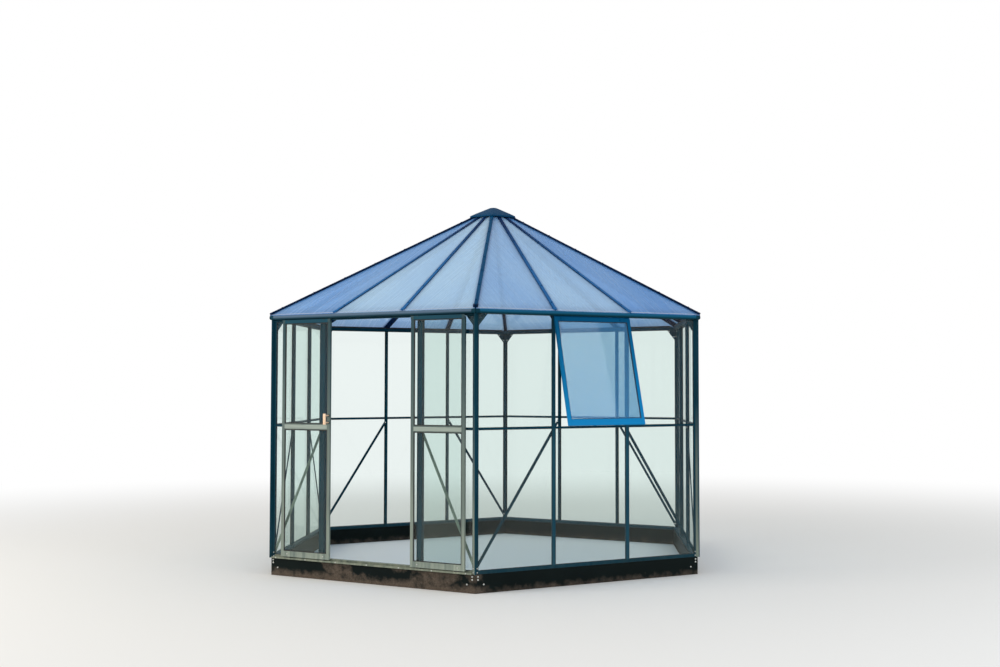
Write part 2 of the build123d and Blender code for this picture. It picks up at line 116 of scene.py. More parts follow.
def copy_of(node, name):
    """A new piece with a CAD node's shape, its loose triangles merged into whole faces."""
    piece = bpy.data.objects.new(name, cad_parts[node].data.copy())
    bpy.context.scene.collection.objects.link(piece)
    piece.data.materials.clear()
    only(piece)
    bpy.ops.object.mode_set(mode="EDIT")
    bpy.ops.mesh.select_all(action="SELECT")
    bpy.ops.mesh.customdata_custom_splitnormals_clear()
    bpy.ops.mesh.remove_doubles(threshold=0.00001)
    bpy.ops.mesh.dissolve_limited(angle_limit=math.radians(1))
    bpy.ops.object.mode_set(mode="OBJECT")
    return piece


def round_edges(piece, width, segments=2):
    """Rounds a piece's edges and keeps its flat faces flat in shading."""
    only(piece)
    bpy.ops.object.shade_smooth()
    bevel = piece.modifiers.new("edges", "BEVEL")
    bevel.width = width
    bevel.segments = segments
    bevel.limit_method = "ANGLE"
    bevel.angle_limit = math.radians(25)
    bevel.harden_normals = True
    bpy.ops.object.modifier_apply(modifier=bevel.name)


def fit_out(piece, material, body="root", node=None):
    """Gives a piece its finish, slot and body, and hides the CAD node that it stands for."""
    piece.data.materials.clear()
    piece.data.materials.append(material)
    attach(piece, body)
    if node:
        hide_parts(node)


def rounded_copy(node, name, width, material, body="root", segments=2):
    """A piece with a CAD node's shape and rounded edges, that stands for that node."""
    piece = copy_of(node, name)
    round_edges(piece, width, segments)
    fit_out(piece, material, body, node)
    return piece


# How high soil splashes, and where feet have kicked it up, in Y and in X.
soil_splash = 0.1
at_door_side = (-1.5, -1.6)
past_left_leaf = (-0.7, -0.4)

# Satin black paint on steel, dielectric, with dried soil thrown up from the ground. The soil is
# thick at the foot and thins out in drips, so the top edge stays black. Feet have kicked more of
# it against the door side, where it cakes in patches from the left leaf on.
black_steel, tree, place = new_material("black_painted_steel")
spot = add(tree, "SeparateXYZ", {"Vector": place})
low = ramp(tree, spot.outputs["Z"], soil_splash, 0.004)
clods = noise(tree, place, 0.055, 6.0, Roughness=0.62)
trodden = ramp(tree, spot.outputs["Y"], *at_door_side, low=0.75, high=1.2)
worn = noise(tree, place, 0.3, 5.0)
kicked = ramp(tree, spot.outputs["Y"], *at_door_side)
walked = ramp(tree, spot.outputs["X"], *past_left_leaf, high=0.85)
kicked = product(tree, kicked, walked)
caked = ramp(tree, worn, 0.44, 0.56)
doorstep = product(tree, kicked, caked)
cover = product(tree, low, trodden)
cover = add(tree, "Math", {0: cover, 1: doorstep}, operation="MAXIMUM")
splash = product(tree, cover, clods)
crust = ramp(tree, splash, 0.22, 0.5, high=0.85)
grains = noise(tree, place, 0.006, 3.0)
earth = blend(tree, grains, "#302A25", "#786B5F")
paint = blend(tree, worn, "#040B0C", "#121C1B")
colour = blend(tree, crust, paint, earth)
rough = ramp(tree, crust, low=0.42, high=0.95)
bump = add(tree, "Bump", {"Height": grains, "Strength": 0.35, "Distance": 0.0015})
skin = add(tree, "BsdfPrincipled", {
    "Base Color": colour, "Roughness": rough, "IOR": 1.5, "Specular IOR Level": 0.06, "Normal": bump})
add(tree, "OutputMaterial", {"Surface": skin})

rounded_copy("ground_frame", "ground_frame_beams", 0.003, black_steel, segments=3)


# Bolts and screws: zinc-plated steel, M6 hexagon heads with a washer where bars are joined, and
# small pan heads where sheet parts are held.

def pick(piece, kind, test):
    """Edit mode, with only the faces or edges of the piece selected that pass a test."""
    only(piece)
    bpy.ops.object.mode_set(mode="EDIT")
    bpy.ops.mesh.select_mode(type=kind)
    bpy.ops.mesh.select_all(action="DESELECT")
    mesh = bmesh.from_edit_mesh(piece.data)
    for element in list(mesh.faces if kind == "FACE" else mesh.edges):
        if test(element):
            element.select_set(True)
    bmesh.update_edit_mesh(piece.data)


def bolt_pattern(name, across, rise, washer):
    """A hexagon head on its washer, standing up from the origin."""
    washer_rise = 0.0014
    select_nothing()
    bpy.ops.mesh.primitive_cylinder_add(
        vertices=16, radius=washer / 2, depth=washer_rise, location=(0, 0, washer_rise / 2))
    base = bpy.context.object
    bpy.ops.mesh.primitive_cylinder_add(
        vertices=6, radius=across / math.sqrt(3), depth=rise, location=(0, 0, washer_rise + rise / 2))
    head = bpy.context.object
    pick(head, "EDGE", lambda e: all(v.co.z > rise / 2 - 0.0001 for v in e.verts))
    bpy.ops.mesh.bevel(offset=rise * 0.2, segments=2)
    bpy.ops.object.mode_set(mode="OBJECT")
    base.select_set(True)
    bpy.ops.object.join()
    bpy.ops.object.transform_apply()
    head.name = name
    return head


def screw_pattern(name, width, rise):
    """A domed pan head, standing up from the origin."""
    select_nothing()
    bpy.ops.mesh.primitive_cylinder_add(vertices=12, radius=width / 2, depth=rise, location=(0, 0, rise / 2))
    head = bpy.context.object
    bpy.ops.object.transform_apply()
    pick(head, "FACE", lambda f: f.normal.z > 0.9)
    bpy.ops.mesh.inset(thickness=width * 0.12)
    bpy.ops.transform.translate(value=(0, 0, rise * 0.35))
    bpy.ops.mesh.inset(thickness=width * 0.16)
    bpy.ops.mesh.extrude_region_move(TRANSFORM_OT_translate={"value": (0, 0, -rise * 0.6)})
    bpy.ops.object.mode_set(mode="OBJECT")
    bpy.ops.object.shade_smooth_by_angle(angle=math.radians(35))
    head.name = name
    return head


def side_turn(side):
    """The turn from the door side to another of the six sides."""
    return Matrix.Rotation(side * math.pi / 3, 4, "Z")


def on_side(side, x, y, z, inward=False):
    """The place of a fixing that looks out of a side or into the house, drawn on the door side."""
    lean = -math.pi / 2 if inward else math.pi / 2
    return side_turn(side) @ Matrix.Translation((x, y, z)) @ Matrix.Rotation(lean, 4, "X")


def join(name, pieces):
    """Joins pieces into the first of them."""
    select_nothing()
    for piece in pieces:
        piece.select_set(True)
    bpy.context.view_layer.objects.active = pieces[0]
    bpy.ops.object.join()
    pieces[0].name = name
    return pieces[0]


def repeat(pattern, name, places):
    """One piece made of a copy of the pattern at each place, each copied with its own mesh."""
    copies = []
    for place in places:
        twin = pattern.copy()
        twin.data = pattern.data.copy()
        twin.matrix_world = place
        bpy.context.scene.collection.objects.link(twin)
        copies.append(twin)
    whole = join(name, copies)
    bpy.ops.object.transform_apply()
    return whole


def plain_finish(name, dark, pale, patch, detail, rough, **skin):
    """A plain finish: its colour drifts between dark and pale in patches of a size in metres, and
    so does its roughness where that is a pair."""
    made, tree, place = new_material(name)
    patches = noise(tree, place, patch, detail)
    colour = blend(tree, patches, dark, pale)
    if isinstance(rough, tuple):
        rough = ramp(tree, patches, low=rough[0], high=rough[1])
    surface = add(tree, "BsdfPrincipled", {"Base Color": colour, "Roughness": rough, **skin})
    add(tree, "OutputMaterial", {"Surface": surface})
    return made


# Zinc plate: a bright metal, dulled by handling, with a faint blotch from the bath.
zinc = plain_finish("zinc_plated_steel", "#B9BCB8", "#E2E3DF", patch=0.008, detail=2.0,
                    rough=(0.25, 0.5), Metallic=1.0)

hex_bolt = bolt_pattern("hex_bolt", across=0.010, rise=0.004, washer=0.012)
pan_screw = screw_pattern("pan_screw", width=0.009, rise=0.0025)

wall_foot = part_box("base_rails")[0].z
wall_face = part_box("door_jambs")[0].y
half_side = -wall_face * math.tan(math.pi / 6)
ground_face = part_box("ground_frame")[0].y
beam_bolts = ((0.018, 0.015), (0.018, 0.036), (0.062, 0.07))
places = [on_side(side, hand * (half_side - inset), ground_face, wall_foot - below_top)
          for side in range(6) for inset, below_top in beam_bolts for hand in (-1, 1)]
fit_out(repeat(hex_bolt, "ground_frame_bolts", places), zinc)

post_screw_inset = 0.0155
post_screw_levels = (0.012, 0.04)
places = [on_side(side, hand * (half_side - post_screw_inset), wall_face, wall_foot + level)
          for side in range(6) for hand in (-1, 1) for level in post_screw_levels]
fit_out(repeat(pan_screw, "post_foot_screws", places), zinc)


# Base rails, posts, mullions and jambs: extruded aluminium, powder coated dark petrol green.
# Each has an outer flange that laps the glass, and a shallow groove runs down its face.

def powder_coat(name, deep, pale, dust_and_sunlight, gloss=0.04, painted_highlight=None):
    """Satin polyester powder, a dielectric paint: an even dark colour with a slow drift in tone,
    fine orange peel, and dust that thins out upwards and lies on ledges. On some coats the dust is
    heavy and pale low down, and is painted sunlight as well as dust. Dust and sunlight is its
    colour, the height where it ends and its strength. A painted highlight fades the paint to a
    second colour from one height to another, and stands for reflected sky light."""
    dust_and_sunlight_colour, dust_and_sunlight_top, dust_and_sunlight_share = dust_and_sunlight
    made, tree, place = new_material(name)
    drift = noise(tree, place, 0.45, 3.0)
    tone = blend(tree, drift, deep, pale)
    runs = add(tree, "Mapping", {"Vector": place, "Scale": (1 / 0.03, 1 / 0.03, 1 / 0.5)})
    streaks = noise(tree, runs, 1, 4.0)
    height = add(tree, "SeparateXYZ", {"Vector": place}).outputs["Z"]
    # Painted highlight: the colour fades to a paler one by height, for reflected sky light.
    if painted_highlight:
        highlight_colour, start, end = painted_highlight
        painted_highlight_share = ramp(tree, height, start, end)
        tone = blend(tree, painted_highlight_share, tone, highlight_colour)
    # Dust from below; on the paler coats it is also painted sunlight on the lower parts.
    splash = ramp(tree, height, dust_and_sunlight_top, 0.1)
    upward = add(tree, "SeparateXYZ", {"Vector": add(tree, "NewGeometry").outputs["Normal"]}).outputs["Z"]
    ledge = ramp(tree, upward, 0.9, 1.0, high=0.3)
    held = add(tree, "Math", {0: ledge, 1: splash}, operation="MAXIMUM")
    dust_and_painted_light = product(tree, held, streaks)
    dust_and_painted_light = product(tree, dust_and_painted_light, dust_and_sunlight_share, use_clamp=True)
    colour = blend(tree, dust_and_painted_light, tone, dust_and_sunlight_colour)
    rough = ramp(tree, streaks, low=0.42, high=0.6)
    peel = noise(tree, place, 0.004, 1.0)
    bump = add(tree, "Bump", {"Height": peel, "Strength": 0.06, "Distance": 0.001})
    skin = add(tree, "BsdfPrincipled", {
        "Base Color": colour, "Roughness": rough, "IOR": 1.5, "Specular IOR Level": gloss,
        "Normal": bump})
    add(tree, "OutputMaterial", {"Surface": skin})
    return made


def grooved_copy(node, name, margin, depth, width):
    """A wall bar with a CAD node's shape and rounded edges, with a shallow groove down the middle
    of each face that looks out of a wall."""
    piece = copy_of(node, name)
    just_inside_face = -wall_face - 0.001
    pick(piece, "FACE", lambda f: f.normal.dot(f.calc_center_median()) > just_inside_face
         and abs(f.normal.z) < 0.1)
    bpy.ops.mesh.inset(thickness=margin, use_individual=True)
    bpy.ops.mesh.extrude_faces_move(TRANSFORM_OT_shrink_fatten={"value": -depth})
    round_edges(piece, width)
    fit_out(piece, frame_coat, node=node)
    return piece


def coat_faces(piece, material, test):
    """Gives another finish to the faces that pass a test."""
    piece.data.materials.append(material)
    last = len(piece.data.materials) - 1
    for face in piece.data.polygons:
        if test(face):
            face.material_index = last


wall_dust = ("#66746C", 0.5, 0.2)
frame_coat = powder_coat("petrol_powder_coat", "#052830", "#0A4054", wall_dust)
# A paler copy of the petrol coat with heavy pale dust low down, for the door leaves and door-side braces:
# painted sunlight over some dust.
sunlit_dusty_coat = powder_coat("sunlit_dusty_powder_coat", "#1C3640", "#3F585C", ("#A2AB9C", 1.8, 1.2),
                             gloss=0.1)

base_rails = grooved_copy("base_rails", "base_rail_profiles", margin=0.007, depth=0.002, width=0.0012)
# A paler copy of the coat with heavy pale dust low down, for the door-side base rail and sill track: partly
# dust, partly painted sunlight.
sill_coat = powder_coat("dusty_sunlit_sill_coat", "#122A2F", "#2A4644", ("#A6AA96", 0.4, 1.15))
sill_back = wall_face + 0.045
sill_half = 0.9
coat_faces(base_rails, sill_coat, lambda f: f.center.y < sill_back and abs(f.center.x) < sill_half)

corner_posts = copy_of("corner_posts", "corner_post_profiles")
nose_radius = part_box("corner_posts")[1].x - 0.002
pick(corner_posts, "EDGE", lambda e: all(v.co.xy.length > nose_radius for v in e.verts)
     and abs(e.verts[0].co.z - e.verts[1].co.z) > 1)
bpy.ops.mesh.bevel(offset=0.005, segments=4)
round_edges(corner_posts, 0.0007)
fit_out(corner_posts, frame_coat, node="corner_posts")
# The front corner post's door-side faces get heavy pale dust low down, which is a painted sunlit highlight.
post_highlight_coat = powder_coat("painted_highlight_flange_coat", "#052830", "#0A4054", ("#9CA596", 1.3, 1.6),
                          gloss=0.1)
right_post = 0.8
coat_faces(corner_posts, post_highlight_coat, lambda f: f.normal.y < -0.9 and f.center.x > right_post)

mullions = grooved_copy("mullions", "mullion_profiles", margin=0.0095, depth=0.0012, width=0.0006)
# A paler copy of the coat for the window-side mullions and the roller plates: painted light.
lit_paler_coat = powder_coat("lit_paler_powder_coat", "#15394A", "#225262", wall_dust)
window_side = side_turn(1) @ Vector((0, -1, 0))
coat_faces(mullions, lit_paler_coat, lambda f: f.center.dot(window_side) > -wall_face - 0.04)

grooved_copy("door_jambs", "door_jamb_profiles", margin=0.014, depth=0.0015, width=0.0008)


# Mid rails: slim aluminium sections with rounded edges, coated like the bars. They lie between the
# lower and the upper panes, which stand in their channels.

rounded_copy("mid_rails", "mid_rail_profiles", 0.0025, frame_coat, segments=3)


# Braces and gussets: flat aluminium, cut to length or sheared to a triangle, coated like the
# bars and bolted inside the glass. A pressed rib stiffens each brace.

rib_rise = 0.0025
braces = copy_of("wall_braces", "wall_brace_bars")
pick(braces, "FACE", lambda f: abs(f.normal.z) < 0.01 and f.calc_area() > 0.01)
bpy.ops.mesh.inset(thickness=0.007, use_individual=True)
bpy.ops.mesh.extrude_faces_move(TRANSFORM_OT_shrink_fatten={"value": rib_rise})
round_edges(braces, 0.0008)
fit_out(braces, frame_coat, node="wall_braces")
# The door-side braces take the paler leaf coat: painted sunlight over some dust.
door_brace_back = wall_face + 0.03
door_brace_end = 0.87
coat_faces(braces, sunlit_dusty_coat,
           lambda f: f.center.y < door_brace_back and abs(f.center.x) < door_brace_end)

rounded_copy("corner_gussets", "corner_gusset_plates", 0.0008, frame_coat)

brace_width = 0.022
brace_back = wall_face + 0.016 + rib_rise
gusset_back = wall_face + 0.011
brace_bolt_inset = 0.014
gusset_bolt_inset, gusset_bolt_run = 0.011, 0.06
post_side = half_side - 0.0163
jamb_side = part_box("door_jambs")[1].x - 0.0057
mullion_side = half_side / 3 + 0.0053
brace_foot, brace_top = (corner.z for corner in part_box("wall_braces"))
gusset_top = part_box("corner_gussets")[1].z
places = []
for side in range(6):
    near = jamb_side if side == 0 else mullion_side
    run = post_side - near
    reach = brace_top - brace_foot
    drop = reach - brace_width * math.hypot(run, reach) / run
    half_cut = brace_width * math.hypot(run, drop) / run / 2
    step = brace_bolt_inset / math.hypot(run, drop)
    bolts = [
        (near + run * step, brace_back, brace_top - half_cut - drop * step),
        (post_side - run * step, brace_back, brace_foot + half_cut + drop * step),
        (post_side - gusset_bolt_inset, gusset_back, gusset_top - gusset_bolt_run),
        (post_side - gusset_bolt_run, gusset_back, gusset_top - gusset_bolt_inset),
    ]
    places += [on_side(side, hand * x, y, z, True) for hand in (-1, 1) for x, y, z in bolts]
fit_out(repeat(hex_bolt, "brace_and_gusset_bolts", places), zinc)


# Wall panes: 3 mm toughened horticultural glass, cut to the bays and laid behind the bars' outer
# flanges. Black rubber strips seal them to the bars.

def clear_glass(name, tint, mirror, dust_and_reflection):
    """Thin float glass, IOR 1.52: a faint green tint, a mirror that grows towards grazing, and a
    diffuse film, which is dust and dried rain on the wall panes and a painted sky reflection on
    the sash pane. The film is its colour, its strength, and the heights where it is thinnest and
    thickest. The glass passes light unbent, as 3 mm does."""
    dust_and_reflection_colour, dust_and_reflection_share, dust_and_reflection_top, dust_and_reflection_foot = dust_and_reflection
    made, tree, place = new_material(name)
    geometry = add(tree, "NewGeometry")
    fresnel = add(tree, "Fresnel", {"IOR": 1.52})
    front = add(tree, "Math", {0: 1.0, 1: geometry.outputs["Backfacing"]}, operation="SUBTRACT")
    both_faces = product(tree, front, mirror)
    share = product(tree, fresnel, both_faces, use_clamp=True)
    clear = add(tree, "BsdfTransparent", {"Color": tint})
    gloss = add(tree, "BsdfGlossy", {"Color": "#FFFFFF", "Roughness": 0.03})
    pane = add(tree, "MixShader", {0: share, 1: clear, 2: gloss})
    runs = add(tree, "Mapping", {"Vector": place, "Scale": (1 / 0.02, 1 / 0.02, 1 / 0.35)})
    streaks = noise(tree, runs, 1, 5.0)
    height = add(tree, "SeparateXYZ", {"Vector": place}).outputs["Z"]
    low = ramp(tree, height, dust_and_reflection_top, dust_and_reflection_foot, low=0.35)
    streak_share = ramp(tree, streaks, low=0.36, high=0.64)
    dust_and_reflection_mask = product(tree, streak_share, low)
    dust_and_reflection_part = product(tree, dust_and_reflection_mask, dust_and_reflection_share, use_clamp=True)
    dust_and_painted_light = add(tree, "BsdfDiffuse", {"Color": dust_and_reflection_colour})
    whole = add(tree, "MixShader", {0: dust_and_reflection_part, 1: pane, 2: dust_and_painted_light})
    add(tree, "OutputMaterial", {"Surface": whole})
    return made


def give_finish(node, material):
    """Gives a CAD node that stays in sight its material."""
    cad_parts[node].data.materials.clear()
    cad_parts[node].data.materials.append(material)


# Moulded black rubber: soft, matt and slightly grey where dust has settled.
rubber = plain_finish("moulded_black_rubber", "#0B0C0C", "#2C2E2D", patch=0.05, detail=4.0,
                      rough=0.75, IOR=1.5)


def box_between(name, low, high):
    """A plain block between two corners."""
    select_nothing()
    bpy.ops.mesh.primitive_cube_add(size=1, location=[(a + b) / 2 for a, b in zip(low, high)])
    piece = bpy.context.object
    piece.name = name
    piece.scale = [b - a for a, b in zip(low, high)]
    bpy.ops.object.transform_apply()
    return piece


def ring(name, low, high, width):
    """A flat frame that faces out of the door side, from its corners and the width of its bars."""
    piece = box_between(name, low, high)
    pick(piece, "FACE", lambda f: abs(f.normal.y) > 0.9)
    bpy.ops.mesh.inset(thickness=width, use_individual=True)
    bpy.ops.mesh.bridge_edge_loops()
    bpy.ops.object.mode_set(mode="OBJECT")
    return piece


wall_glass = clear_glass("clear_float_glass", "#F6FAF9", mirror=0.4, dust_and_reflection=("#A9B3A6", 0.04, 1.5, 0.15))
side_names = ["door_side", "window_side", "right_rear", "rear", "left_rear", "left_side"]
mid_rail_low, mid_rail_top = (corner.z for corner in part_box("mid_rails"))
pane_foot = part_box("base_rails")[1].z
pane_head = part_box("eaves_rails")[0].z
seal_front = wall_face + 0.0012
seal_back = wall_face + 0.0027
seal_width = 0.003
post_edge = half_side - 0.022
mullion_half = 0.013
third = half_side / 3
side_bays = [(-post_edge, -third - mullion_half), (-third + mullion_half, third - mullion_half),
             (third + mullion_half, post_edge)]
door_bays = [(-post_edge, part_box("door_jambs")[0].x), (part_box("door_jambs")[1].x, post_edge)]
for side, side_name in enumerate(side_names):
    give_finish(side_name + "_glass", wall_glass)
    rings = []
    for bay, (left, right) in enumerate(door_bays if side == 0 else side_bays):
        for foot, head in ((pane_foot, mid_rail_low), (mid_rail_top, pane_head)):
            if side_name == "window_side" and bay == 1 and foot == mid_rail_top:
                continue
            rings.append(ring("seal", (left, seal_front, foot), (right, seal_back, head), seal_width))
    seals = join(side_name + "_seals", rings)
    seals.matrix_world = side_turn(side)
    bpy.ops.object.transform_apply()
    fit_out(seals, rubber)


# Eaves rails: the widest extrusion. Its round nose stands out from the wall, and the light it
# catches along its top is a painted highlight in its coat; a flat lip on top carries the edge of
# the roof sheets.

corner_piece_reach = 0.035
roof_edge = -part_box("eaves_rails")[0].y
edge_half = roof_edge * math.tan(math.pi / 6)


def on_another_side(face):
    """Whether a face of the eaves rails lies on one of the five sides beside the door side."""
    centre = face.calc_center_median()
    corner_slope = 1.7
    return -centre.y < abs(centre.x) * corner_slope - 0.1 or centre.y > -1.0


def eaves_part(name, cuts):
    """One side's eaves rail, cut at some places along it. Each cut drops what lies beyond it."""
    rail = copy_of("eaves_rails", name)
    pick(rail, "FACE", on_another_side)
    bpy.ops.mesh.delete(type="FACE")
    for x, beyond in cuts:
        bpy.ops.mesh.select_all(action="SELECT")
        bpy.ops.mesh.bisect(plane_co=(x, 0, 0), plane_no=(beyond, 0, 0), use_fill=True, clear_outer=True)
    bpy.ops.object.mode_set(mode="OBJECT")
    return rail


all_sides = [side_turn(side) for side in range(6)]
cut = edge_half - corner_piece_reach
rail = eaves_part("eaves_rail", [(cut, 1), (-cut, -1)])
round_edges(rail, 0.0035, 4)
eaves_rails = repeat(rail, "eaves_rail_profiles", all_sides)
fit_out(eaves_rails, frame_coat, node="eaves_rails")
nose_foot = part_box("eaves_rails")[0].z + 0.006
# Along the top of the nose the coat fades to a paler, bluer colour: a painted sky reflection. The door
# side's coat is also paler and greyer overall, painted light.
door_eaves_coat = powder_coat("painted_reflection_eaves_coat", "#12303E", "#1E4452", wall_dust,
                              painted_highlight=("#52687E", nose_foot, nose_foot + 0.014))
eaves_coat = powder_coat("sky_lit_eaves_coat", "#062E38", "#0A4050", wall_dust,
                         painted_highlight=("#12587A", nose_foot, nose_foot + 0.016))
nose_back = wall_face - 0.004
coat_faces(eaves_rails, eaves_coat, lambda f: f.center.xy.length > -nose_back)
coat_faces(eaves_rails, door_eaves_coat, lambda f: f.center.y < nose_back)
ends = [eaves_part("right_end", [(cut, -1)]), eaves_part("left_end", [(-cut, 1)])]
corner_ends = join("eaves_corner", ends)
round_edges(corner_ends, 0.003, 4)
fit_out(repeat(corner_ends, "eaves_corner_pieces", all_sides), frame_coat)
for pattern in (rail, corner_ends):
    bpy.data.objects.remove(pattern)

# A foam strip on each rail's inner edge closes the gap under the sheets.
strip_back = wall_face + 0.036
strip_half = -strip_back * math.tan(math.pi / 6) - 0.03
rail_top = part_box("corner_posts")[1].z + 0.027
closure = box_between("closure_strip", (-strip_half, strip_back - 0.005, rail_top - 0.001),
                      (strip_half, strip_back, rail_top + 0.011))
round_edges(closure, 0.001)
fit_out(repeat(closure, "eaves_closure_strips", all_sides), rubber)
bpy.data.objects.remove(closure)


# Roof bars and hip bars: the sheets slide in between their body and a cover strip, which is screwed
# down from above. A moulded cap closes the foot of each bar. The faces of the roof bars that look
# up are bluer and paler towards their feet, and the front hip is teal: painted sky light.

roof_dust = ("#5E7896", 0.3, 0.04)
dull = 0.02
roof_coat = powder_coat("navy_powder_coat", "#020F28", "#04284E", roof_dust, dull)
# The roof bars' upward faces: a bluer coat, paler towards their feet, which is painted sky light.
bar_coat = powder_coat("blue_bar_coat", "#03204A", "#062C5A", roof_dust, dull,
                       painted_highlight=("#1E5C94", 2.75, 2.3))
# The hip bar at the front corner gets a paler teal copy of the coat: a painted highlight.
teal_coat = powder_coat("teal_hip_coat", "#00365C", "#064C74", roof_dust, dull)
front_corner = Vector((0.5, -math.sqrt(0.75)))
hip_bars = rounded_copy("hip_bars", "hip_bar_profiles", 0.0016, roof_coat)
coat_faces(hip_bars, teal_coat, lambda f: f.center.xy.normalized().dot(front_corner) > 0.98)

roof_bars = rounded_copy("roof_bars", "roof_bar_profiles", 0.0014, bar_coat)
coat_faces(roof_bars, roof_coat, lambda f: f.normal.z < 0.3)

roof_pitch = math.radians(29.95)
roof_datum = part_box("door_side_roof_sheets")[0].z - 0.004 * math.sin(roof_pitch)
roof_rise = roof_edge * math.tan(roof_pitch)
cover_top = 0.0123
hip_cover_top = 0.0183


def bar_place(foot_x, normal):
    """The place of a roof bar's foot: X across the bar, Y up along it, Z out of the roof."""
    foot = Vector((foot_x, -roof_edge, roof_datum))
    along = Vector((-foot_x, roof_edge, roof_rise)).normalized()
    across = along.cross(normal).normalized()
    upward = across.cross(along)
    axes = Matrix((across, along, upward)).transposed().to_4x4()
    return Matrix.Translation(foot) @ axes


face_normal = Vector((0, -math.sin(roof_pitch), math.cos(roof_pitch)))
hip_normal = Vector((roof_edge, edge_half, 0)).normalized().cross(
    Vector((-edge_half, roof_edge, roof_rise)).normalized())
hip_place = bar_place(edge_half, hip_normal)
bar_places = [bar_place(x, face_normal) for x in (-edge_half / 3, edge_half / 3)]
face_level = hip_place.inverted().to_3x3() @ face_normal
hip_fall = math.atan2(abs(face_level.x), face_level.z)

cap_half, tongue_half, hip_cap_half = 0.0155, 0.0038, 0.0145
cap_start, cap_end = 0.009, 0.042
cap_foot = 0.0072
cap_skin = 0.0012
head = box_between("bar_foot_cap", (-cap_half, cap_start, cap_foot),
                   (cap_half, cap_end, cover_top + cap_skin))
tongue = box_between("tongue", (-tongue_half, cap_start + 0.001, 0.0),
                     (tongue_half, cap_end - 0.014, 0.0075))
foot_cap = join("bar_foot_cap", [head, tongue])
round_edges(foot_cap, 0.0012)
hip_start, hip_end = 0.014, 0.052
halves = []
for hand in (-1, 1):
    ends = sorted((0, hand * hip_cap_half))
    half = box_between("hip_half", (ends[0], hip_start, cap_foot),
                       (ends[1], hip_end, hip_cover_top + cap_skin))
    half.rotation_euler = (0, hand * hip_fall, 0)
    bpy.ops.object.transform_apply()
    halves.append(half)
hip_cap = join("hip_foot_cap", halves)
round_edges(hip_cap, 0.0012)
places = [turn @ place for turn in all_sides for place in bar_places]
fit_out(repeat(foot_cap, "bar_foot_caps", places), bar_coat)
places = [turn @ hip_place for turn in all_sides]
fit_out(repeat(hip_cap, "hip_foot_caps", places), roof_coat)

screw_pitch = 0.28
first_screw = 0.12
cap_reach = 0.26
covers = [(bar_places[0], cover_top), (bar_places[1], cover_top), (hip_place, hip_cover_top)]
places = []
for turn in all_sides:
    for place, level in covers:
        length = Vector((place.translation.x, roof_edge, roof_rise)).length - cap_reach
        for step in range(int((length - first_screw) / screw_pitch) + 1):
            places.append(turn @ place @ Matrix.Translation((0, first_screw + step * screw_pitch, level)))
fit_out(repeat(pan_screw, "cover_strip_screws", places), roof_coat)
for pattern in (foot_cap, hip_cap):
    bpy.data.objects.remove(pattern)


# Roof sheets: 6 mm twin-wall polycarbonate, extruded, so lines run down the slope. It is milky,
# with a cold blue tone. Aluminium tape seals the open ends of the channels at the eaves.

